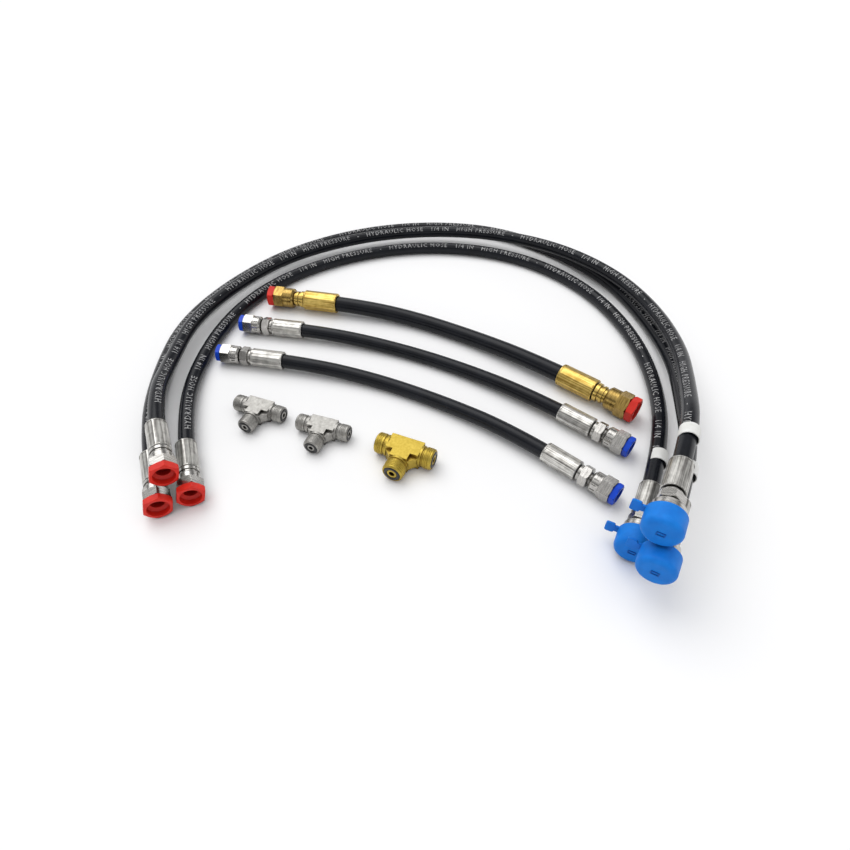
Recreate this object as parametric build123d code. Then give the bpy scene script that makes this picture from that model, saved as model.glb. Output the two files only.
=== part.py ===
from build123d import *
from dataclasses import dataclass
import math
import os

# A hydraulic hose kit as it lies on a bench: three long hoses, three short
# hoses and three tees. Millimetres, +Z up, +X to the right, +Y to the rear.
# The origin is on the bench, under the middle of the fittings' outline.

os.makedirs("parts", exist_ok=True)

# ---------------------------------------------------------------- clearances
slip = 0.03            # hose in ferrule, stem in hose, radial
spin = 0.10            # swivel nut on its stem, radial
plug_slip = 0.06       # plug shank in a nut's thread, radial
bench_gap = 0.08       # under the lowest corner of a plug or cap

# ---------------------------------------------------------------- hoses
hose_od = 13.0
hose_bore = 6.4
brass_hose_od = 15.6
brass_hose_bore = 9.5
ferrule_over_hose = 4.0     # ferrule outside, over the hose
crimp_over_hose = 3.2       # across the crimped flats, over the hose
brass_ferrule_over_hose = 4.8
brass_crimp_over_hose = 3.8
band_length = 12.0     # white sleeve near a long hose's capped end
band_wall = 0.65
band_slip = 0.15
band_setback = 25.5    # bare hose between the sleeve and the ferrule

# ---------------------------------------------------------------- caps and tees
cap_wall = 1.1
cap_round = 4.0        # outer round of the closed end
cap_slip = 0.22        # round the corners of the nut, radial
cap_grip = 13.2        # length of nut inside the cap
cap_end_gap = 1.4      # nut to the cap's closed end
tab_thickness = 1.6
tab_waist = 5.5
tab_waist_length = 2.5
tab_pad = 9.5
tab_pad_length = 6.5
wall_of_nut = 2.2      # rear wall that holds the nut on the stem
head_play = 0.15       # end play of the stem's head inside the nut
ferrule_wall = 2.5     # end wall of a ferrule
uncrimped = 1.6        # ferrule left round at each end
stake_width = 0.9
stake_depth = 0.45
tail_length = 24.0     # stem inside the hose


@dataclass
class End:
    """Sizes of one swivel end: ferrule, stem, nut and plug."""
    hose_od: float
    hose_bore: float
    ferrule_od: float
    crimp_af: float
    ferrule_length: float
    stem_bore: float
    collars: tuple
    wrench_af: float
    wrench_length: float
    neck_r: float
    nut_gap: float
    nut_round_od: float
    nut_round_length: float
    nut_af: float
    nut_hex_length: float
    thread_d: float
    face_depth: float
    plug_af: float
    plug_head: float
    plug_grip: float
    plug_recess_d: float
    stakes: int

    @property
    def ring_start(self):
        return ferrule_wall

    @property
    def wrench_start(self):
        return self.ring_start + sum(length for _, length in self.collars)

    @property
    def nut_start(self):
        return self.wrench_start + self.wrench_length + self.nut_gap

    @property
    def hex_start(self):
        return self.nut_start + self.nut_round_length

    @property
    def nut_end(self):
        return self.hex_start + self.nut_hex_length


steel_short = End(
    hose_od=hose_od, hose_bore=hose_bore,
    ferrule_od=hose_od + ferrule_over_hose, crimp_af=hose_od + crimp_over_hose,
    ferrule_length=31.0,
    stem_bore=4.0, collars=((5.4, 1.0), (6.6, 2.6)),
    wrench_af=15.9, wrench_length=7.0, neck_r=5.2, nut_gap=2.2,
    nut_round_od=17.3, nut_round_length=7.8,
    nut_af=17.5, nut_hex_length=10.0, thread_d=14.4, face_depth=10.0,
    plug_af=15.6, plug_head=4.8, plug_grip=6.5, plug_recess_d=9.6,
    stakes=12)

brass_short = End(
    hose_od=brass_hose_od, hose_bore=brass_hose_bore,
    ferrule_od=brass_hose_od + brass_ferrule_over_hose,
    crimp_af=brass_hose_od + brass_crimp_over_hose, ferrule_length=35.5,
    stem_bore=7.0, collars=((6.8, 0.9), (8.6, 3.4), (7.2, 2.6), (8.0, 2.2), (6.9, 2.6)),
    wrench_af=0.0, wrench_length=0.0, neck_r=6.5, nut_gap=0.3,
    nut_round_od=20.4, nut_round_length=10.8,
    nut_af=20.6, nut_hex_length=10.4, thread_d=17.6, face_depth=10.0,
    plug_af=20.0, plug_head=7.0, plug_grip=6.5, plug_recess_d=13.0,
    stakes=0)

steel_plugged = End(
    hose_od=hose_od, hose_bore=hose_bore,
    ferrule_od=hose_od + ferrule_over_hose, crimp_af=hose_od + crimp_over_hose,
    ferrule_length=30.0,
    stem_bore=4.0, collars=((6.6, 0.6), (8.2, 2.9), (7.5, 2.1)),
    wrench_af=0.0, wrench_length=0.0, neck_r=5.2, nut_gap=0.3,
    nut_round_od=18.4, nut_round_length=6.4,
    nut_af=19.0, nut_hex_length=8.2, thread_d=14.4, face_depth=8.6,
    plug_af=20.0, plug_head=6.2, plug_grip=6.5, plug_recess_d=10.6,
    stakes=0)

steel_capped = End(
    hose_od=hose_od, hose_bore=hose_bore,
    ferrule_od=hose_od + ferrule_over_hose, crimp_af=hose_od + crimp_over_hose,
    ferrule_length=28.0,
    stem_bore=4.0, collars=((5.4, 1.0), (7.0, 2.2)),
    wrench_af=16.0, wrench_length=7.0, neck_r=5.2, nut_gap=1.8,
    nut_round_od=21.4, nut_round_length=7.5,
    nut_af=20.6, nut_hex_length=14.0, thread_d=17.6, face_depth=12.0,
    plug_af=0.0, plug_head=0.0, plug_grip=0.0, plug_recess_d=0.0,
    stakes=0)


@dataclass
class Tee:
    """Sizes of one three-way adapter with flat faces and face seals."""
    run: float
    branch: float
    thread_d: float
    relief: float
    core_half: float
    core_width: float
    core_height: float
    web_height: float
    collar_d: float
    collar_length: float
    bore: float
    seal_d: float
    seal_section: float


steel_tee = Tee(run=47.6, branch=24.6, thread_d=14.28, relief=0.6, core_half=12.2,
                core_width=12.6, core_height=13.8, web_height=8.4,
                collar_d=14.9, collar_length=1.6, bore=3.8,
                seal_d=9.0, seal_section=2.6)

brass_tee = Tee(run=50.4, branch=26.4, thread_d=17.46, relief=0.7, core_half=14.4,
                core_width=15.2, core_height=16.6, web_height=10.0,
                collar_d=18.0, collar_length=1.6, bore=4.8,
                seal_d=11.4, seal_section=3.0)

# ---------------------------------------------------------------- heights
def corner_radius(across_flats):
    return across_flats / 2 / math.cos(math.radians(30))


floor_z = hose_od / 2
brass_floor_z = brass_hose_od / 2
brass_z = corner_radius(brass_short.nut_af) + bench_gap
short_z = corner_radius(steel_short.nut_af) + bench_gap
plug_corner_r = corner_radius(steel_plugged.plug_af)
plugged_z = plug_corner_r + bench_gap
cap_r = corner_radius(steel_capped.nut_af) + cap_slip + cap_wall
capped_z = cap_r + bench_gap

# ---------------------------------------------------------------- routes
# Each route runs from the hose's left cut end to its right one. The first
# and the last run lie level, on the axes of the two end fittings.
left_lower_z = plugged_z
left_upper_z = plugged_z + plug_corner_r + corner_radius(steel_plugged.nut_af) - 2.1
right_lower_z = capped_z + cap_r + 8.6
right_upper_z = right_lower_z + 2 * cap_r
lean_z = floor_z + 0.75 * hose_od
nestle_z = floor_z + 0.46 * hose_od
cross_z = floor_z + hose_od + 2

inner_route = [
    (-173.5, -72, plugged_z), (-194, -15.6, plugged_z), (-205, 57, floor_z),
    (-193.5, 138, floor_z), (-157.5, 206, floor_z), (-92.5, 258, floor_z),
    (-14, 285, floor_z), (68, 283.5, floor_z), (140, 253, floor_z),
    (195, 193, floor_z), (223.5, 115, floor_z), (227, 36, floor_z),
    (207, -48, capped_z), (173.6, -113.7, capped_z)]

lower_route = [
    (-196.6, -83.3, left_lower_z), (-221, -28.5, left_lower_z),
    (-237, 45, floor_z), (-238, 127, floor_z), (-204, 206, floor_z),
    (-149, 275, floor_z), (-72, 322, floor_z), (13, 340, floor_z),
    (99, 329, floor_z), (170, 280, floor_z), (221, 215, floor_z),
    (244, 141, floor_z), (249, 64, 12), (232, -6, 25),
    (212.9, -80.9, right_lower_z), (177.15, -142.8, right_lower_z)]

upper_route = [
    (-190, -69, left_upper_z), (-214.4, -14.2, left_upper_z),
    (-225, 53, lean_z + 1), (-223, 126, lean_z), (-189, 196, lean_z),
    (-142, 259, nestle_z), (-65, 301, nestle_z), (19, 317, nestle_z),
    (98, 304, nestle_z + 2.5), (167, 260, cross_z), (220, 204, cross_z),
    (246, 136, cross_z + 1.5), (246.5, 55, cross_z + 11.5), (226, -17, cross_z + 26.5),
    (205.7, -74.9, right_upper_z), (175.4, -130.8, right_upper_z)]

brass_route = [
    (-112.5, 163, brass_z), (-63.5, 153, brass_z), (-3, 137.5, brass_floor_z),
    (62, 102, brass_floor_z), (118.3, 59.3, brass_z), (164, 20.4, brass_z)]

rear_route = [
    (-138.5, 117, short_z), (-90, 108.2, short_z), (-24, 90.5, floor_z),
    (42, 59.5, floor_z), (107.3, 14.8, short_z), (153, -24, short_z)]

front_route = [
    (-149.7, 68.5, short_z), (-100.6, 59.2, short_z), (-36, 41.5, floor_z),
    (29, 9.5, floor_z), (87.6, -30.8, short_z), (132, -71.2, short_z)]


# ---------------------------------------------------------------- solids
def turned(*profile):
    """A solid of revolution about Z from (radius, height) points."""
    face = make_face(Plane.XZ * Polyline(*profile, close=True))
    return revolve(face, Axis.Z)


def disc(radius, low, high, hole=0.0):
    """A plain or bored cylinder between two heights."""
    return turned((hole, low), (radius, low), (radius, high), (hole, high))


def hex_bar(across_flats, low, high, roll):
    """A hexagonal bar with its corners turned down at both ends."""
    flat_r = across_flats / 2
    corner_r = corner_radius(across_flats)
    turn_down = (corner_r - flat_r) * math.tan(math.radians(30))
    bar = extrude(RegularPolygon(corner_r, 6, rotation=roll), high - low)
    limit = turned((0, low), (flat_r, low), (corner_r, low + turn_down),
                   (corner_r, high - turn_down), (flat_r, high), (0, high))
    return Pos(0, 0, low) * bar & limit


def ferrule(end):
    """The crimped sleeve, with eight flats and a wall at its outer end."""
    top = ferrule_wall
    low = top - end.ferrule_length
    bore = end.hose_od / 2 + slip
    outer = end.ferrule_od / 2
    neck = end.collars[0][0] + slip
    sleeve = turned((bore + 0.5, low), (outer - 0.6, low), (outer, low + 0.6),
                    (outer, top - 0.4), (outer - 0.4, top), (neck, top),
                    (neck, 0), (bore, 0), (bore, low + 0.5))
    crimp_low = low + uncrimped
    crimp_length = end.ferrule_length - 2 * uncrimped
    octagon = RegularPolygon(end.crimp_af / 2, 8, major_radius=False)
    waste = Circle(outer + 1) - octagon
    return sleeve - Pos(0, 0, crimp_low) * extrude(waste, crimp_length)


def stem(end, roll):
    """The hose tail, its collars, the wrench hexagon and the sealing head."""
    tail = end.hose_bore / 2 - slip
    bore = end.stem_bore / 2
    head_r = end.thread_d / 2 - 0.4
    head_low = end.nut_start + wall_of_nut + head_play
    face = end.nut_end - end.face_depth
    outline = [(bore, -tail_length), (tail - 0.5, -tail_length),
               (tail, -tail_length + 0.5), (tail, 0)]
    height = 0.0
    for number, (radius, length) in enumerate(end.collars):
        if number == 0:
            length += ferrule_wall
        outline.append((radius, height))
        height += length
        outline.append((radius, height))
    outline += [(end.neck_r, height), (end.neck_r, head_low),
                (head_r, head_low), (head_r, face), (bore, face)]
    body = turned(*outline)
    if end.wrench_af > 0:
        low = end.wrench_start
        hexagon = hex_bar(end.wrench_af, low, low + end.wrench_length, roll)
        body += hexagon - disc(end.neck_r - 0.5, low - 1, low + end.wrench_length + 1)
    return body


def nut(end, roll):
    """The swivel nut: a round rear part, a hexagon and a plain threaded bore."""
    low = end.nut_start
    outer = end.nut_round_od / 2
    round_part = turned((0, low), (outer - 1.4, low), (outer, low + 1.6),
                        (outer, end.hex_start + 0.5), (0, end.hex_start + 0.5))
    body = round_part + hex_bar(end.nut_af, end.hex_start, end.nut_end, roll)
    for number in range(end.stakes):
        angle = 360 / end.stakes * number
        slot = Box(stake_depth * 2, stake_width, end.nut_round_length * 0.5)
        place = Pos(outer, 0, low + end.nut_round_length * 0.55)
        body -= Rot(0, 0, angle) * (place * slot)
    thread = end.thread_d / 2
    inner_low = low + wall_of_nut
    body -= disc(end.neck_r + spin, low - 1, inner_low + 1)
    body -= turned((0, inner_low), (thread, inner_low),
                   (thread, end.nut_end - 0.6), (thread + 0.8, end.nut_end + 0.2),
                   (0, end.nut_end + 0.2))
    return body


def plug(end, roll):
    """The moulded plug: a hexagonal rim and a hollow shank in the nut."""
    low = end.nut_end - end.plug_grip
    high = end.nut_end + end.plug_head
    shank = end.thread_d / 2 - plug_slip
    recess = end.plug_recess_d / 2
    body = hex_bar(end.plug_af, end.nut_end, high, roll)
    body += disc(shank, low, end.nut_end + 0.5)
    rim = end.plug_af / 2 - 1.9
    body -= turned((0, low + 1.2), (recess, low + 1.2), (recess, end.nut_end),
                   (rim, end.nut_end + 1.5), (rim, high + 0.1), (0, high + 0.1))
    return body


def cap(end):
    """The soft cap over the nut, with its pull tab at the open end."""
    mouth = end.nut_end - cap_grip
    inner_end = end.nut_end + cap_end_gap
    outer_end = inner_end + cap_wall
    inner_r = cap_r - cap_wall
    body = disc(cap_r, mouth, outer_end)
    body = fillet(body.edges().group_by(Axis.Z)[-1], cap_round)
    hollow = disc(inner_r, mouth - 1, inner_end)
    hollow = fillet(hollow.edges().group_by(Axis.Z)[-1], cap_round - cap_wall)
    reach = cap_r + tab_waist_length
    waist = Pos((inner_r + reach) / 2, 0) * Rectangle(reach - inner_r + 1, tab_waist)
    pad = Pos(reach + tab_pad_length / 2, 0) * RectangleRounded(tab_pad_length, tab_pad, 1.6)
    tab = extrude(waist + pad, tab_thickness)
    return body + Pos(0, 0, mouth) * tab - hollow


def arc_radii(points):
    """One bend radius for each inner point, as large as its two runs allow."""
    vectors = [Vector(*point) for point in points]
    radii = []
    for before, here, after in zip(vectors, vectors[1:], vectors[2:]):
        turn = math.radians((here - before).get_angle(after - here))
        shorter = min((here - before).length, (after - here).length)
        radii.append(0.45 * shorter / math.tan(turn / 2))
    return radii


def hose_path(points):
    return FilletPolyline(*points, radius=arc_radii(points))


def hose_tube(points, outer_d, bore_d):
    """The hose itself: a ring swept along level and sloping runs and arcs."""
    start = Plane(origin=points[0], z_dir=Vector(*points[1]) - Vector(*points[0]))
    ring = Circle(outer_d / 2) - Circle(bore_d / 2)
    return sweep(start * ring, path=hose_path(points))


def end_plane(points):
    """The plane of a route's last cut end, its X level and to the left."""
    axis = (Vector(*points[-1]) - Vector(*points[-2])).normalized()
    return Plane(origin=points[-1], x_dir=(axis.Y, -axis.X, 0), z_dir=axis)


def write(name, *solids):
    """One node: its solids in one STEP file."""
    shape = solids[0] if len(solids) == 1 else Compound(children=list(solids))
    shape.label = name
    export_step(shape, "parts/" + name + ".step")


def hose_assembly(name, route, left_end, right_end, rolls):
    """A hose with a swivel end fitting at each end, one file for each piece."""
    tube = hose_tube(route, left_end.hose_od, left_end.hose_bore)
    length = hose_path(route).length
    section = math.pi / 4 * (left_end.hose_od ** 2 - left_end.hose_bore ** 2)
    radii = ", ".join("%.0f" % radius for radius in arc_radii(route))
    print("%s: length %.1f, volume %.4f of section x length, radii %s"
          % (name, length, tube.volume / section / length, radii))
    write(name + "_hose", tube)
    left = end_plane(route[::-1])
    right = end_plane(route)
    write(name + "_ferrules", left * ferrule(left_end), right * ferrule(right_end))
    sides = (("left", left, left_end, rolls[0]), ("right", right, right_end, rolls[1]))
    for side, plane, end, (stem_roll, nut_roll, plug_roll) in sides:
        write(name + "_stem_" + side, plane * stem(end, stem_roll))
        write(name + "_nut_" + side, plane * nut(end, nut_roll))
        if end.plug_af > 0:
            write(name + "_plug_" + side, plane * plug(end, plug_roll))
        else:
            write(name + "_cap", plane * cap(end))
            write(name + "_band", id_band(route, end))


def id_band(route, end):
    """The plain sleeve on the hose behind the capped end."""
    path = hose_path(route)
    reach = end.ferrule_length - ferrule_wall + band_setback + band_length / 2
    place = path.location_at(path.length - reach, position_mode=PositionMode.LENGTH)
    plane = Plane(origin=place.position, z_dir=path.tangent_at(
        path.length - reach, position_mode=PositionMode.LENGTH))
    inner = end.hose_od / 2 + band_slip
    return plane * disc(inner + band_wall, -band_length / 2, band_length / 2, inner)


# ---------------------------------------------------------------- tees
def tee_end(size, reach):
    """One threaded end along +Z, from the core to its flat face."""
    thread = size.thread_d / 2
    collar = size.core_half + size.collar_length
    face = reach
    groove_mid = size.seal_d / 2
    half = size.seal_section / 2 + 0.05
    depth = size.seal_section * 0.8
    root = size.core_width / 2 - 0.7
    body = turned((0, 0), (root, 0), (root, size.core_half - 0.5),
                  (size.collar_d / 2, size.core_half - 0.5), (size.collar_d / 2, collar),
                  (thread - size.relief, collar + 0.4),
                  (thread - size.relief, collar + 1.2), (thread, collar + 1.8),
                  (thread, face - 0.9), (thread - 0.9, face), (0, face))
    groove = disc(groove_mid + half, face - depth, face + 1, groove_mid - half)
    return body - groove


def tee_seal(size, reach):
    """The face seal in the groove of one end."""
    section = size.seal_section / 2
    height = reach - size.seal_section * 0.8 + section + 0.02
    return Pos(0, 0, height) * Torus(size.seal_d / 2, section)


def tee_ends(size):
    """Where the three ends point: the run both ways and the branch forward."""
    half_run = size.run / 2
    return ((Rot(0, 90, 0), half_run), (Rot(0, -90, 0), half_run),
            (Rot(90, 0, 0), size.branch))


def tee_body(size):
    """The forged body: a flat-topped core, webbed corners and three ends."""
    wide = size.core_width / 2
    long = size.core_half
    plate = Polygon((-long, -wide), (-wide, -wide), (-wide, -long), (wide, -long),
                    (wide, -wide), (long, -wide), (long, wide), (-long, wide),
                    align=None)
    web = Polygon((-long, -wide), (-wide, -long), (wide, -long), (long, -wide),
                  (long, 0), (-long, 0), align=None)
    body = Pos(0, 0, -size.core_height / 2) * extrude(plate, size.core_height)
    body += Pos(0, 0, -size.web_height / 2) * extrude(web, size.web_height)
    for turn, reach in tee_ends(size):
        body += turn * tee_end(size, reach)
    for turn, reach in tee_ends(size):
        body -= turn * disc(size.bore / 2, 0, reach + 1)
    return body


def tee(name, size, x, y, angle):
    """A tee lying flat on the bench."""
    height = size.collar_d / 2 + bench_gap
    place = Pos(x, y, height) * Rot(0, 0, angle)
    write(name + "_body", place * tee_body(size))
    seals = [place * (turn * tee_seal(size, reach)) for turn, reach in tee_ends(size)]
    write(name + "_seals", *seals)


# ---------------------------------------------------------------- the kit
hose_assembly("inner_long", inner_route, steel_plugged, steel_capped,
              ((0, 10, 12), (10, 5, 0)))
hose_assembly("lower_long", lower_route, steel_plugged, steel_capped,
              ((0, 14, 12), (20, 10, 0)))
hose_assembly("upper_long", upper_route, steel_plugged, steel_capped,
              ((0, 9, 12), (25, 0, 0)))
hose_assembly("brass_short", brass_route, brass_short, brass_short,
              ((0, 40, 35), (0, 45, 40)))
hose_assembly("rear_short", rear_route, steel_short, steel_short,
              ((20, 45, 45), (25, 45, 45)))
hose_assembly("front_short", front_route, steel_short, steel_short,
              ((10, 42, 42), (22, 43, 43)))

tee("left_tee", steel_tee, -132.3, 0.5, -20.5)
tee("middle_tee", steel_tee, -73.5, -22.7, -18.3)
tee("brass_tee", brass_tee, -3, -50.4, -23)
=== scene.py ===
import math

import bmesh
import bpy
from mathutils import Matrix, Vector


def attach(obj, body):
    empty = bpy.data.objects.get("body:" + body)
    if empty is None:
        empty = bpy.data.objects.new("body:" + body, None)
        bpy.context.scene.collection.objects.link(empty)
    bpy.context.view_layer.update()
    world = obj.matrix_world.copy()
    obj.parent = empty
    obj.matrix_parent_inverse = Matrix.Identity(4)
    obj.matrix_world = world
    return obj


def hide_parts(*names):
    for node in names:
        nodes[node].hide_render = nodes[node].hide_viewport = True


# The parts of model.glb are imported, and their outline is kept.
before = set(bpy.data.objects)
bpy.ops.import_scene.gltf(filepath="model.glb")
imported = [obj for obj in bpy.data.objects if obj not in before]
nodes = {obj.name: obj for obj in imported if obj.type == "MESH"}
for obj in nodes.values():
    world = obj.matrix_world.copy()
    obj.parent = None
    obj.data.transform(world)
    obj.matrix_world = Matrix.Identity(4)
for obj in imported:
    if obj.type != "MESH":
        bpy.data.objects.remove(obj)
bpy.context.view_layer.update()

scene = bpy.context.scene
scene.view_settings.view_transform = "Standard"


# ---------------------------------------------------------------- bench, light and camera
# A plain white bench top under an even studio sky with one soft key light.
# The camera stands in front of the open side of the arch and looks down on it.
camera_data = bpy.data.cameras.new("camera")
camera_data.lens = 24
camera_data.sensor_width = 36
camera_data.clip_start = 0.01
camera = bpy.data.objects.new("camera", camera_data)
camera.location = (0.013, -0.357, 0.357)
camera.rotation_euler = (math.radians(44), 0, 0)
scene.collection.objects.link(camera)
scene.camera = camera


def shader_tree(name):
    """An empty material with its Principled shader."""
    material = bpy.data.materials.new(name)
    material.use_nodes = True
    tree = material.node_tree
    return material, tree, tree.nodes["Principled BSDF"]


def seen_rays(tree, path):
    """One where a surface is seen by the lens, in a gloss or through a clear body."""
    seen = path.outputs["Is Camera Ray"]
    for kind in ("Is Glossy Ray", "Is Transmission Ray"):
        either = tree.nodes.new("ShaderNodeMath")
        either.operation = "MAXIMUM"
        tree.links.new(seen, either.inputs[0])
        tree.links.new(path.outputs[kind], either.inputs[1])
        seen = either.outputs[0]
    return seen


def white_top():
    material, tree, shader = shader_tree("bench_white")
    path = tree.nodes.new("ShaderNodeLightPath")
    tint = tree.nodes.new("ShaderNodeMix")
    tint.data_type = "RGBA"
    tint.inputs["A"].default_value = (0.72, 0.72, 0.72, 1)
    tint.inputs["B"].default_value = (0.985, 0.985, 0.985, 1)
    tree.links.new(seen_rays(tree, path), tint.inputs["Factor"])
    tree.links.new(tint.outputs["Result"], shader.inputs["Base Color"])
    shader.inputs["Roughness"].default_value = 0.9
    shader.inputs["Specular IOR Level"].default_value = 0.0
    return material


bench_half_width = 6
bench_mesh = bmesh.new()
bmesh.ops.create_grid(bench_mesh, x_segments=1, y_segments=1, size=bench_half_width)
bench_data = bpy.data.meshes.new("bench")
bench_mesh.to_mesh(bench_data)
bench_mesh.free()
bench_data.materials.append(white_top())
bench = bpy.data.objects.new("bench", bench_data)
scene.collection.objects.link(bench)

key_data = bpy.data.lights.new("key", "SUN")
key_data.energy = 1.1
key_data.angle = math.radians(50)
key_light = bpy.data.objects.new("key", key_data)
key_light.rotation_euler = (math.radians(-28), math.radians(-22), 0)
scene.collection.objects.link(key_light)

sky = bpy.data.worlds.new("studio")
sky.use_nodes = True
scene.world = sky
sky_nodes, sky_links = sky.node_tree.nodes, sky.node_tree.links
sky_direction = sky_nodes.new("ShaderNodeTexCoord")
sky_split = sky_nodes.new("ShaderNodeSeparateXYZ")
sky_ramp = sky_nodes.new("ShaderNodeValToRGB")
sky_levels = ((0.0, 1.0), (0.26, 0.95), (0.40, 0.22), (0.56, 0.16), (0.72, 0.75), (1.0, 1.0))
for place, level in sky_levels:
    if place in (0.0, 1.0):
        stop = sky_ramp.color_ramp.elements[0 if place == 0.0 else -1]
    else:
        stop = sky_ramp.color_ramp.elements.new(place)
    stop.color = (level, level, level * 1.01, 1)
sky_links.new(sky_direction.outputs["Generated"], sky_split.inputs[0])
sky_links.new(sky_split.outputs["Z"], sky_ramp.inputs[0])
sky_links.new(sky_ramp.outputs[0], sky_nodes["Background"].inputs[0])
sky_nodes["Background"].inputs[1].default_value = 1.15


# ---------------------------------------------------------------- hoses
# Each hose is one length of rubber tube with a smooth black cover over its braid.
# It lies on the bench in its own slack curve; the long ones rest on their fittings.
def rubber_cover():
    """Black cover rubber: satin, with a faint grain along the hose and a little dust."""
    material, tree, shader = shader_tree("hose_rubber")
    seat = tree.nodes.new("ShaderNodeTexCoord")
    grain = tree.nodes.new("ShaderNodeTexNoise")
    grain.inputs["Scale"].default_value = 2600
    grain.inputs["Detail"].default_value = 3
    cloud = tree.nodes.new("ShaderNodeTexNoise")
    cloud.inputs["Scale"].default_value = 55
    cloud.inputs["Detail"].default_value = 4
    for noise in (grain, cloud):
        tree.links.new(seat.outputs["Object"], noise.inputs["Vector"])
    tone = tree.nodes.new("ShaderNodeValToRGB")
    tone.color_ramp.elements[0].position = 0.35
    tone.color_ramp.elements[0].color = (0.0050, 0.0058, 0.0085, 1)
    tone.color_ramp.elements[1].position = 0.75
    tone.color_ramp.elements[1].color = (0.0095, 0.011, 0.0155, 1)
    tree.links.new(cloud.outputs[0], tone.inputs[0])
    tree.links.new(tone.outputs[0], shader.inputs["Base Color"])
    gloss = tree.nodes.new("ShaderNodeMapRange")
    gloss.inputs["To Min"].default_value = 0.20
    gloss.inputs["To Max"].default_value = 0.31
    tree.links.new(cloud.outputs[0], gloss.inputs["Value"])
    tree.links.new(gloss.outputs[0], shader.inputs["Roughness"])
    bump = tree.nodes.new("ShaderNodeBump")
    bump.inputs["Strength"].default_value = 0.12
    bump.inputs["Distance"].default_value = 0.0001
    tree.links.new(grain.outputs[0], bump.inputs["Height"])
    tree.links.new(bump.outputs[0], shader.inputs["Normal"])
    shader.inputs["Specular IOR Level"].default_value = 0.22
    return material


cover_rubber = rubber_cover()

floor_z = 0.0065
brass_floor_z = 0.0078
plugged_z = 0.011627
capped_z = 0.01329
brass_z = 0.01197
short_z = 0.01018
left_upper_z = 0.032044
right_lower_z = 0.03511
right_upper_z = 0.06153
lean_z = 0.01625
nestle_z = 0.01248
cross_z = 0.0215
slim_hose = 0.013
stout_hose = 0.0156

hose_routes = {
    "inner_long": (slim_hose, 1.0146, [
        (-0.1735, -0.072, plugged_z), (-0.194, -0.0156, plugged_z), (-0.205, 0.057, floor_z),
        (-0.1935, 0.138, floor_z), (-0.1575, 0.206, floor_z), (-0.0925, 0.258, floor_z),
        (-0.014, 0.285, floor_z), (0.068, 0.2835, floor_z), (0.14, 0.253, floor_z),
        (0.195, 0.193, floor_z), (0.2235, 0.115, floor_z), (0.227, 0.036, floor_z),
        (0.207, -0.048, capped_z), (0.1736, -0.1137, capped_z)]),
    "lower_long": (slim_hose, 1.1933, [
        (-0.1966, -0.0833, plugged_z), (-0.221, -0.0285, plugged_z), (-0.237, 0.045, floor_z),
        (-0.238, 0.127, floor_z), (-0.204, 0.206, floor_z), (-0.149, 0.275, floor_z),
        (-0.072, 0.322, floor_z), (0.013, 0.34, floor_z), (0.099, 0.329, floor_z),
        (0.17, 0.28, floor_z), (0.221, 0.215, floor_z), (0.244, 0.141, floor_z),
        (0.249, 0.064, 0.012), (0.232, -0.006, 0.025), (0.2129, -0.0809, right_lower_z),
        (0.17715, -0.1428, right_lower_z)]),
    "upper_long": (slim_hose, 1.1205, [
        (-0.19, -0.069, left_upper_z), (-0.2144, -0.0142, left_upper_z),
        (-0.225, 0.053, lean_z + 0.001), (-0.223, 0.126, lean_z), (-0.189, 0.196, lean_z),
        (-0.142, 0.259, nestle_z), (-0.065, 0.301, nestle_z), (0.019, 0.317, nestle_z),
        (0.098, 0.304, nestle_z + 0.0025), (0.167, 0.26, cross_z), (0.22, 0.204, cross_z),
        (0.246, 0.136, cross_z + 0.0015), (0.2465, 0.055, cross_z + 0.0115),
        (0.226, -0.017, cross_z + 0.0265), (0.2057, -0.0749, right_upper_z),
        (0.1754, -0.1308, right_upper_z)]),
    "brass_short": (stout_hose, 0.3170, [
        (-0.1125, 0.163, brass_z), (-0.0635, 0.153, brass_z), (-0.003, 0.1375, brass_floor_z),
        (0.062, 0.102, brass_floor_z), (0.1183, 0.0593, brass_z), (0.164, 0.0204, brass_z)]),
    "rear_short": (slim_hose, 0.3294, [
        (-0.1385, 0.117, short_z), (-0.09, 0.1082, short_z), (-0.024, 0.0905, floor_z),
        (0.042, 0.0595, floor_z), (0.1073, 0.0148, short_z), (0.153, -0.024, short_z)]),
    "front_short": (slim_hose, 0.3203, [
        (-0.1497, 0.0685, short_z), (-0.1006, 0.0592, short_z), (-0.036, 0.0415, floor_z),
        (0.029, 0.0095, floor_z), (0.0876, -0.0308, short_z), (0.132, -0.0712, short_z)]),
}


def laid_curve(name, route):
    """One open spline through the slack of a route, with its ends held."""
    data = bpy.data.curves.new(name, "CURVE")
    data.dimensions = "3D"
    data.resolution_u = 16
    spline = data.splines.new("NURBS")
    spline.points.add(len(route) - 1)
    for point, place in zip(spline.points, route):
        point.co = (*place, 1)
    spline.order_u = 3
    spline.use_endpoint_u = True
    return data


def line_points(name, route):
    """Points along the bare spline of a route, read from its mesh."""
    curve = bpy.data.objects.new(name + "_line", laid_curve(name + "_line", route))
    mesh = bpy.data.meshes.new_from_object(curve)
    points = [vertex.co.copy() for vertex in mesh.vertices]
    bpy.data.meshes.remove(mesh)
    bpy.data.objects.remove(curve)
    return points


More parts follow.
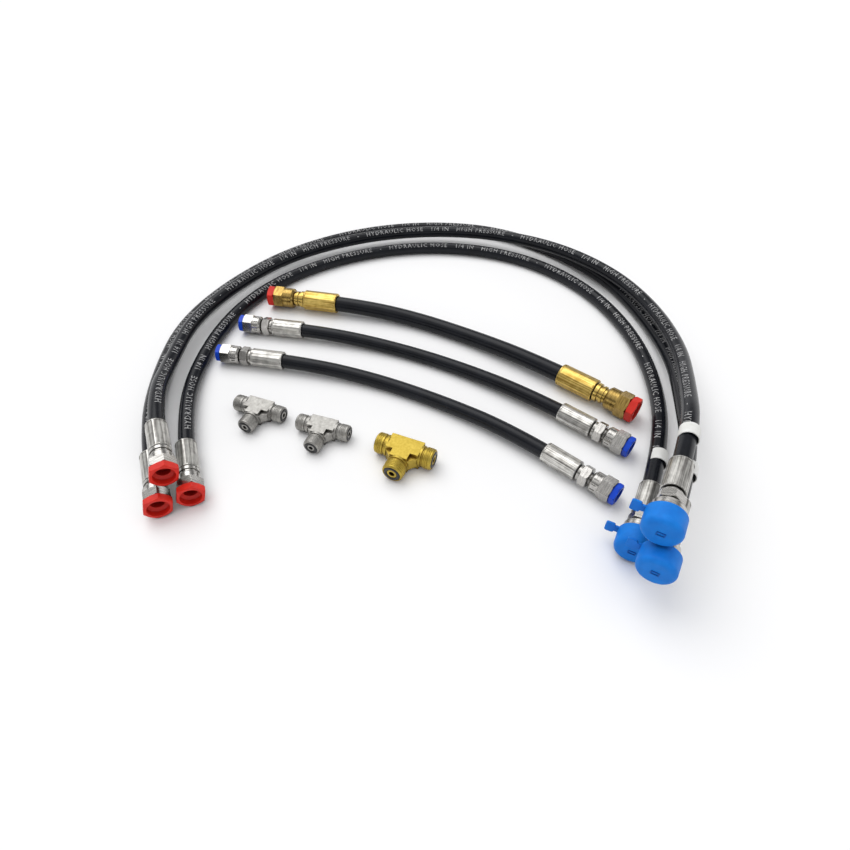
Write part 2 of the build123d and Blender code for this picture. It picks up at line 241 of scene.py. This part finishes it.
hose_lines = {}
for kit_item, (hose_diameter, hose_length, route) in hose_routes.items():
    hose_data = laid_curve(kit_item + "_cover", route)
    hose_data.bevel_depth = hose_diameter / 2
    hose_data.bevel_resolution = 14
    hose_data.use_fill_caps = True
    hose_data.materials.append(cover_rubber)
    hose = bpy.data.objects.new(kit_item + "_cover", hose_data)
    scene.collection.objects.link(hose)
    hose_lines[kit_item] = line_points(kit_item, route)
    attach(hose, kit_item)
    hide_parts(kit_item + "_hose")
    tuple(route[0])


# ---------------------------------------------------------------- lay lines
# A line of pale ink runs along each long hose, said in plain generic words.
# It is printed by a wheel, letter by letter, and is worn thin in places.
def worn_ink():
    """Pale grey printing ink, thin and patchy."""
    material, tree, shader = shader_tree("lay_line_ink")
    seat = tree.nodes.new("ShaderNodeTexCoord")
    patch = tree.nodes.new("ShaderNodeTexNoise")
    patch.inputs["Scale"].default_value = 420
    patch.inputs["Detail"].default_value = 4
    tree.links.new(seat.outputs["Object"], patch.inputs["Vector"])
    tone = tree.nodes.new("ShaderNodeValToRGB")
    tone.color_ramp.elements[0].position = 0.36
    tone.color_ramp.elements[0].color = (0.13, 0.13, 0.135, 1)
    tone.color_ramp.elements[1].position = 0.58
    tone.color_ramp.elements[1].color = (0.46, 0.46, 0.46, 1)
    tree.links.new(patch.outputs[0], tone.inputs[0])
    tree.links.new(tone.outputs[0], shader.inputs["Base Color"])
    shader.inputs["Roughness"].default_value = 0.6
    return material


lay_ink = worn_ink()
letter_height = 0.0052
capital_share = 0.7
ink_lift = 0.00007
ink_thickness = 0.00003
bare_ends = 0.055
words = "HYDRAULIC HOSE   1/4 IN   HIGH PRESSURE   -   "


def place_on_line(points, lengths, distance):
    """The point and direction at a distance along a line of points."""
    distance = min(max(distance, 0.0), lengths[-1] - 1e-6)
    low, high = 0, len(lengths) - 1
    while high - low > 1:
        middle = (low + high) // 2
        if lengths[middle] <= distance:
            low = middle
        else:
            high = middle
    part = (distance - lengths[low]) / (lengths[high] - lengths[low])
    before = points[max(low - 1, 0)]
    after = points[min(high + 1, len(points) - 1)]
    start = (points[high] - before).normalized()
    finish = (after - points[low]).normalized()
    return points[low].lerp(points[high], part), start.lerp(finish, part).normalized()


def printed_line(name, points, radius, lean, start, finish):
    """Words wrapped round the cover, from one distance along the hose to another."""
    lengths = [0.0]
    for before, after in zip(points, points[1:]):
        lengths.append(lengths[-1] + (after - before).length)
    text = bpy.data.curves.new(name, "FONT")
    text.body = words * 9
    text.size = letter_height / capital_share
    text.space_character = 1.22
    text.resolution_u = 1
    text.extrude = ink_thickness
    flat = bpy.data.objects.new(name + "_flat", text)
    mesh = bpy.data.meshes.new_from_object(flat)
    bpy.data.objects.remove(flat)
    letters = bmesh.new()
    letters.from_mesh(mesh)
    bmesh.ops.remove_doubles(letters, verts=letters.verts, dist=1e-7)
    room = finish - start
    over = [face for face in letters.faces if max(v.co.x for v in face.verts) > room]
    bmesh.ops.delete(letters, geom=over, context="FACES")
    for share in (0.25, 0.5, 0.75):
        cut = letters.verts[:] + letters.edges[:] + letters.faces[:]
        bmesh.ops.bisect_plane(letters, geom=cut, plane_co=(0, letter_height * share, 0),
                               plane_no=(0, 1, 0))
    for vertex in letters.verts:
        along, across, out = vertex.co
        centre, ahead = place_on_line(points, lengths, start + along)
        up = (Vector((0, 0, 1)) - ahead * ahead.z).normalized()
        side = ahead.cross(up)
        turn = lean - (across - letter_height / 2) / radius
        away = radius + ink_lift + out
        vertex.co = centre + away * (math.cos(turn) * up + math.sin(turn) * side)
    letters.to_mesh(mesh)
    letters.free()
    mesh.materials.clear()
    mesh.materials.append(lay_ink)
    line = bpy.data.objects.new(name, mesh)
    scene.collection.objects.link(line)
    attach(line, name.replace("_lay_line", ""))


for kit_item, lean, print_start in (("inner_long", 0.45, 0.040), ("lower_long", 0.15, 0.055),
                                    ("upper_long", 0.50, 0.050)):
    hose_diameter, hose_length, route = hose_routes[kit_item]
    printed_line(kit_item + "_lay_line", hose_lines[kit_item], hose_diameter / 2, lean,
                 print_start, hose_length - bare_ends)


# ---------------------------------------------------------------- metal fittings
# Stems, nuts and ferrules are turned bar, zinc plated or yellow plated over steel.
# The crevices are darkened with painted shade, and the plating is brighter along the edges.
def turned_grain(tree, ends, stretch):
    """Object coordinates laid along each fitting's own axis, then stretched."""
    seat = tree.nodes.new("ShaderNodeTexCoord")
    chosen = None
    for place, heading in ends:
        lie = tree.nodes.new("ShaderNodeMapping")
        lie.vector_type = "TEXTURE"
        lie.inputs["Location"].default_value = place
        lie.inputs["Rotation"].default_value = Vector((0, 0, 1)).rotation_difference(
            heading).to_euler()
        tree.links.new(seat.outputs["Object"], lie.inputs["Vector"])
        if chosen is None:
            chosen = lie.outputs[0]
            continue
        split = tree.nodes.new("ShaderNodeSeparateXYZ")
        beyond = tree.nodes.new("ShaderNodeMath")
        beyond.operation = "GREATER_THAN"
        beyond.inputs[1].default_value = 0.0
        pick = tree.nodes.new("ShaderNodeMix")
        pick.data_type = "VECTOR"
        tree.links.new(seat.outputs["Object"], split.inputs[0])
        tree.links.new(split.outputs["X"], beyond.inputs[0])
        tree.links.new(beyond.outputs[0], pick.inputs["Factor"])
        tree.links.new(chosen, pick.inputs["A"])
        tree.links.new(lie.outputs[0], pick.inputs["B"])
        chosen = pick.outputs["Result"]
    pull = tree.nodes.new("ShaderNodeMapping")
    pull.inputs["Scale"].default_value = stretch
    tree.links.new(chosen, pull.inputs["Vector"])
    return seat.outputs["Object"], pull.outputs[0]


def plated_metal(name, ends, colours, gloss_range, stretch=(1, 1, 1), streak=(0.3, 0.7),
                 relief=0.25, crevice_depth=0.003):
    """Plated metal with rounded edges, painted shade in its crevices, and a grain along or round
    it.
    """
    painted_shade_colour, dark, light = colours
    material, tree, shader = shader_tree(name)
    plain, drawn = turned_grain(tree, ends, stretch)
    cloud = tree.nodes.new("ShaderNodeTexNoise")
    cloud.inputs["Scale"].default_value = 180
    cloud.inputs["Detail"].default_value = 5
    tree.links.new(plain, cloud.inputs["Vector"])
    grain = tree.nodes.new("ShaderNodeTexNoise")
    grain.inputs["Scale"].default_value = 520
    grain.inputs["Detail"].default_value = 4
    tree.links.new(drawn, grain.inputs["Vector"])
    blend_noise = tree.nodes.new("ShaderNodeMix")
    blend_noise.inputs["Factor"].default_value = 0.3
    tree.links.new(grain.outputs[0], blend_noise.inputs["A"])
    tree.links.new(cloud.outputs[0], blend_noise.inputs["B"])
    tone = tree.nodes.new("ShaderNodeValToRGB")
    tone.color_ramp.elements[0].position = streak[0]
    tone.color_ramp.elements[0].color = (*dark, 1)
    tone.color_ramp.elements[1].position = streak[1]
    tone.color_ramp.elements[1].color = (*light, 1)
    tree.links.new(blend_noise.outputs[0], tone.inputs[0])
    # Painted shade: the colour falls to the first colour of the set where ambient occlusion finds
    # nearby surfaces.
    crevice = tree.nodes.new("ShaderNodeAmbientOcclusion")
    crevice.inputs["Distance"].default_value = crevice_depth
    crevice.samples = 8
    shade = tree.nodes.new("ShaderNodeMapRange")
    shade.inputs["From Min"].default_value = 0.30
    shade.inputs["From Max"].default_value = 0.85
    tree.links.new(crevice.outputs["AO"], shade.inputs["Value"])
    crevice_painted_shade = tree.nodes.new("ShaderNodeMix")
    crevice_painted_shade.data_type = "RGBA"
    crevice_painted_shade.inputs["A"].default_value = (*painted_shade_colour, 1)
    tree.links.new(shade.outputs[0], crevice_painted_shade.inputs["Factor"])
    tree.links.new(tone.outputs[0], crevice_painted_shade.inputs["B"])
    tree.links.new(crevice_painted_shade.outputs["Result"], shader.inputs["Base Color"])
    gloss = tree.nodes.new("ShaderNodeMapRange")
    gloss.inputs["To Min"].default_value = gloss_range[1]
    gloss.inputs["To Max"].default_value = gloss_range[0]
    tree.links.new(blend_noise.outputs[0], gloss.inputs["Value"])
    tree.links.new(gloss.outputs[0], shader.inputs["Roughness"])
    soft_edge = tree.nodes.new("ShaderNodeBevel")
    soft_edge.samples = 6
    soft_edge.inputs["Radius"].default_value = 0.00035
    bump = tree.nodes.new("ShaderNodeBump")
    bump.inputs["Strength"].default_value = relief
    bump.inputs["Distance"].default_value = 0.0002
    tree.links.new(blend_noise.outputs[0], bump.inputs["Height"])
    tree.links.new(soft_edge.outputs[0], bump.inputs["Normal"])
    tree.links.new(bump.outputs[0], shader.inputs["Normal"])
    shader.inputs["Metallic"].default_value = 1.0
    return material


def finish_nodes(material, *names):
    """Gives one finish to a row of turned parts."""
    for name in names:
        data = nodes[name].data
        data.materials.clear()
        data.materials.append(material)


def hose_ends(route):
    """Where a hose's two ends are, and which way they point."""
    points = [Vector(place) for place in route]
    return ((points[0], (points[0] - points[1]).normalized()),
            (points[-1], (points[-1] - points[-2]).normalized()))


# The first colour of each set is the painted shade laid into crevices.
steel_colours = ((0.06, 0.057, 0.053), (0.32, 0.31, 0.295), (0.60, 0.585, 0.555))
nickel_colours = ((0.08, 0.075, 0.07), (0.24, 0.23, 0.215), (0.74, 0.73, 0.69))
gold_colours = ((0.12, 0.06, 0.015), (0.38, 0.235, 0.05), (0.80, 0.60, 0.18))
bronzed_colours = ((0.08, 0.04, 0.012), (0.19, 0.115, 0.028), (0.50, 0.35, 0.11))
for kit_item, (_, _, route) in hose_routes.items():
    yellow = kit_item == "brass_short"
    ends = hose_ends(route)
    crimped = plated_metal(kit_item + "_crimped", ends, gold_colours if yellow else nickel_colours,
                           (0.26, 0.46), stretch=(2.2, 2.2, 0.05), streak=(0.40, 0.62),
                           relief=0.4)
    finish_nodes(crimped, kit_item + "_ferrules")
    for side, end in zip(("left", "right"), ends):
        for turned, colours in (("stem", gold_colours if yellow else steel_colours),
                                ("nut", bronzed_colours if yellow else steel_colours)):
            lathe = plated_metal(f"{kit_item}_turned_{turned}_{side}", (end,), colours,
                                 (0.17, 0.30), stretch=(0.25, 0.25, 1.6), streak=(0.3, 0.7),
                                 relief=0.08)
            finish_nodes(lathe, f"{kit_item}_{turned}_{side}")


# ---------------------------------------------------------------- plugs, caps and bands
# Plugs and caps are moulded polyethylene, softly glossy and a little see-through.
# The bands are white sleeves pushed over the cover before the ferrule is crimped.
def moulded_plastic(name, deep, bright, rough, glow, shine=0.3):
    """Polyethylene: waxy, with faint flow marks, a few scuffs and painted shade in its hollows."""
    material, tree, shader = shader_tree(name)
    seat = tree.nodes.new("ShaderNodeTexCoord")
    cloud = tree.nodes.new("ShaderNodeTexNoise")
    cloud.inputs["Scale"].default_value = 130
    cloud.inputs["Detail"].default_value = 4
    grain = tree.nodes.new("ShaderNodeTexNoise")
    grain.inputs["Scale"].default_value = 1800
    for noise in (cloud, grain):
        tree.links.new(seat.outputs["Object"], noise.inputs["Vector"])
    tone = tree.nodes.new("ShaderNodeValToRGB")
    tone.color_ramp.elements[0].position = 0.3
    tone.color_ramp.elements[0].color = (*deep, 1)
    tone.color_ramp.elements[1].position = 0.72
    tone.color_ramp.elements[1].color = (*bright, 1)
    tree.links.new(cloud.outputs[0], tone.inputs[0])
    # Painted shade: the colour is mixed toward black where ambient occlusion finds nearby
    # surfaces, as in the plug recesses.
    hollow = tree.nodes.new("ShaderNodeAmbientOcclusion")
    hollow.inputs["Distance"].default_value = 0.012
    hollow.samples = 8
    shade = tree.nodes.new("ShaderNodeMapRange")
    shade.inputs["From Min"].default_value = 0.15
    shade.inputs["From Max"].default_value = 0.75
    shade.inputs["To Min"].default_value = 0.35
    tree.links.new(hollow.outputs["AO"], shade.inputs["Value"])
    depth = tree.nodes.new("ShaderNodeMix")
    depth.data_type = "RGBA"
    depth.inputs["A"].default_value = (0, 0, 0, 1)
    tree.links.new(shade.outputs[0], depth.inputs["Factor"])
    tree.links.new(tone.outputs[0], depth.inputs["B"])
    tree.links.new(depth.outputs["Result"], shader.inputs["Base Color"])
    gloss = tree.nodes.new("ShaderNodeMapRange")
    gloss.inputs["To Min"].default_value = rough - 0.06
    gloss.inputs["To Max"].default_value = rough + 0.10
    tree.links.new(cloud.outputs[0], gloss.inputs["Value"])
    tree.links.new(gloss.outputs[0], shader.inputs["Roughness"])
    soft_edge = tree.nodes.new("ShaderNodeBevel")
    soft_edge.samples = 6
    soft_edge.inputs["Radius"].default_value = 0.0005
    bump = tree.nodes.new("ShaderNodeBump")
    bump.inputs["Strength"].default_value = 0.12
    bump.inputs["Distance"].default_value = 0.0001
    tree.links.new(grain.outputs[0], bump.inputs["Height"])
    tree.links.new(soft_edge.outputs[0], bump.inputs["Normal"])
    tree.links.new(bump.outputs[0], shader.inputs["Normal"])
    shader.inputs["Specular IOR Level"].default_value = shine
    shader.inputs["Subsurface Weight"].default_value = glow
    shader.inputs["Subsurface Radius"].default_value = (1.0, 1.0, 1.0)
    shader.inputs["Subsurface Scale"].default_value = 0.0012
    return material


red_plug = moulded_plastic("red_plastic", (0.62, 0.017, 0.010), (0.78, 0.030, 0.015), 0.42, 0.12)
blue_plug = moulded_plastic("blue_plug_plastic", (0.003, 0.055, 0.56), (0.006, 0.085, 0.72),
                            0.40, 0.12)
blue_cap = moulded_plastic("blue_cap_plastic", (0.004, 0.175, 0.65), (0.007, 0.225, 0.77),
                           0.48, 0.12, shine=0.2)
# The mark is moulded in the cap's own blue; its darker blue here is painted shade for the shade
# along its raised edges.
cap_mark = moulded_plastic("blue_cap_mark", (0.002, 0.090, 0.42), (0.003, 0.115, 0.50),
                           0.48, 0.05, shine=0.2)
white_sleeve = moulded_plastic("white_sleeve", (0.74, 0.74, 0.71), (0.84, 0.84, 0.82), 0.5, 0.1)

finish_nodes(red_plug, "inner_long_plug_left", "lower_long_plug_left", "upper_long_plug_left",
             "brass_short_plug_left", "brass_short_plug_right")
finish_nodes(blue_plug, "rear_short_plug_left", "rear_short_plug_right",
             "front_short_plug_left", "front_short_plug_right")
finish_nodes(blue_cap, "inner_long_cap", "lower_long_cap", "upper_long_cap")
finish_nodes(white_sleeve, "inner_long_band", "lower_long_band", "upper_long_band")


mark_width = 0.0056
mark_height = 0.0034
mark_line = 0.0007
mark_rise = 0.0006
mark_root = 0.0001


def moulded_mark(name, body, place, heading):
    """The raised gate mark in the middle of a cap's closed end: a small rounded frame, darker in
    painted shade.
    """
    mark = bmesh.new()
    bmesh.ops.create_grid(mark, x_segments=1, y_segments=1, size=0.5)
    bmesh.ops.scale(mark, vec=(mark_width, mark_height, 1), verts=mark.verts)
    frame_faces = bmesh.ops.inset_region(mark, faces=mark.faces[:], thickness=mark_line,
                                         use_boundary=True, use_even_offset=True)["faces"]
    bmesh.ops.delete(mark, geom=[f for f in mark.faces if f not in frame_faces], context="FACES")
    raised = bmesh.ops.extrude_face_region(mark, geom=mark.faces[:])["geom"]
    bmesh.ops.translate(mark, vec=(0, 0, mark_rise),
                        verts=[v for v in raised if isinstance(v, bmesh.types.BMVert)])
    bmesh.ops.recalc_face_normals(mark, faces=mark.faces)
    level = heading.cross(Vector((0, 0, 1))).normalized()
    turn = Matrix((level, heading.cross(level), heading)).transposed().to_4x4()
    bmesh.ops.transform(mark, matrix=Matrix.Translation(place) @ turn, verts=mark.verts)
    data = bpy.data.meshes.new(name)
    mark.to_mesh(data)
    mark.free()
    # The darker blue of the mark is painted shade.
    data.materials.append(cap_mark)
    piece = bpy.data.objects.new(name, data)
    scene.collection.objects.link(piece)
    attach(piece, body)


cap_reach = 0.0385
for kit_item in ("inner_long", "lower_long", "upper_long"):
    place, heading = hose_ends(hose_routes[kit_item][2])[1]
    moulded_mark(kit_item + "_cap_mark", kit_item + "_cap",
                 place + heading * (cap_reach - mark_root), heading)


# ---------------------------------------------------------------- tees
# A tee is a hot forging with three turned ends, a flat sealing face on each.
# The black face seal stands a little proud of its groove.
whole_kit = ((Vector((0, 0, 0)), Vector((0, 0, 1))),)
# The tees take the painted shade of plated_metal in their pockets, over a reach of 6 mm.
forged_steel = plated_metal("tee_steel", whole_kit,
                            ((0.07, 0.067, 0.062), (0.27, 0.262, 0.245), (0.45, 0.44, 0.415)),
                            (0.34, 0.52), crevice_depth=0.006)
forged_gold = plated_metal("tee_gold", whole_kit,
                           ((0.17, 0.085, 0.018), (0.42, 0.30, 0.045), (0.55, 0.41, 0.080)),
                           (0.32, 0.50), crevice_depth=0.006)


def seal_rubber():
    """Smooth nitrile, slightly oily."""
    material, tree, shader = shader_tree("seal_rubber")
    seat = tree.nodes.new("ShaderNodeTexCoord")
    film = tree.nodes.new("ShaderNodeTexNoise")
    film.inputs["Scale"].default_value = 500
    tree.links.new(seat.outputs["Object"], film.inputs["Vector"])
    gloss = tree.nodes.new("ShaderNodeMapRange")
    gloss.inputs["To Min"].default_value = 0.22
    gloss.inputs["To Max"].default_value = 0.4
    tree.links.new(film.outputs[0], gloss.inputs["Value"])
    tree.links.new(gloss.outputs[0], shader.inputs["Roughness"])
    shader.inputs["Base Color"].default_value = (0.009, 0.009, 0.010, 1)
    return material


nitrile = seal_rubber()
finish_nodes(nitrile, "left_tee_seals", "middle_tee_seals", "brass_tee_seals")
finish_nodes(forged_steel, "left_tee_body", "middle_tee_body")
finish_nodes(forged_gold, "brass_tee_body")


def thread_ridge(name, tee, seat, heading, low, high, radius, pitch, depth, metal):
    """A right-handed thread ridge wound round one end of a tee."""
    steps = 48
    turns = (high - low) / pitch - 1
    ridge = bmesh.new()
    section = []
    for along, out in ((-0.46, -0.3), (-0.12, 1.0), (0.12, 1.0), (0.46, -0.3)):
        section.append(ridge.verts.new((radius + out * depth, 0, low + (along + 0.5) * pitch)))
    edges = [ridge.edges.new((section[n], section[(n + 1) % 4])) for n in range(4)]
    ring = ridge.faces.new(section)
    bmesh.ops.spin(ridge, geom=[ring] + edges, cent=(0, 0, 0), axis=(0, 0, 1),
                   angle=2 * math.pi * turns, steps=int(steps * turns),
                   dvec=(0, 0, pitch / steps), use_merge=False, use_duplicate=False)
    bmesh.ops.remove_doubles(ridge, verts=ridge.verts, dist=1e-8)
    bmesh.ops.recalc_face_normals(ridge, faces=ridge.faces)
    turn = Vector((0, 0, 1)).rotation_difference(heading).to_matrix().to_4x4()
    bmesh.ops.transform(ridge, matrix=Matrix.Translation(seat) @ turn, verts=ridge.verts)
    data = bpy.data.meshes.new(name)
    ridge.to_mesh(data)
    ridge.free()
    data.materials.append(metal)
    piece = bpy.data.objects.new(name, data)
    scene.collection.objects.link(piece)
    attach(piece, tee)


thread_depth = 0.00032
tee_places = (
    ("left_tee", (-0.1323, 0.0005, 0.00753), -20.5, forged_steel),
    ("middle_tee", (-0.0735, -0.0227, 0.00753), -18.3, forged_steel),
    ("brass_tee", (-0.003, -0.0504, 0.00908), -23.0, forged_gold),
)
for tee, seat, bearing, metal in tee_places:
    large = tee == "brass_tee"
    thread_low = 0.0178 if large else 0.0156
    run_reach = 0.0243 if large else 0.0229
    branch_reach = 0.0255 if large else 0.0237
    thread_radius = 0.00873 if large else 0.00714
    pitch = 0.00159 if large else 0.00141
    run = Vector((math.cos(math.radians(bearing)), math.sin(math.radians(bearing)), 0))
    ends = (("right", run, run_reach), ("left", -run, run_reach),
            ("branch", Vector((run.y, -run.x, 0)), branch_reach))
    for end, heading, reach in ends:
        thread_ridge(f"{tee}_thread_{end}", tee, Vector(seat), heading, thread_low, reach,
                     thread_radius, pitch, thread_depth, metal)
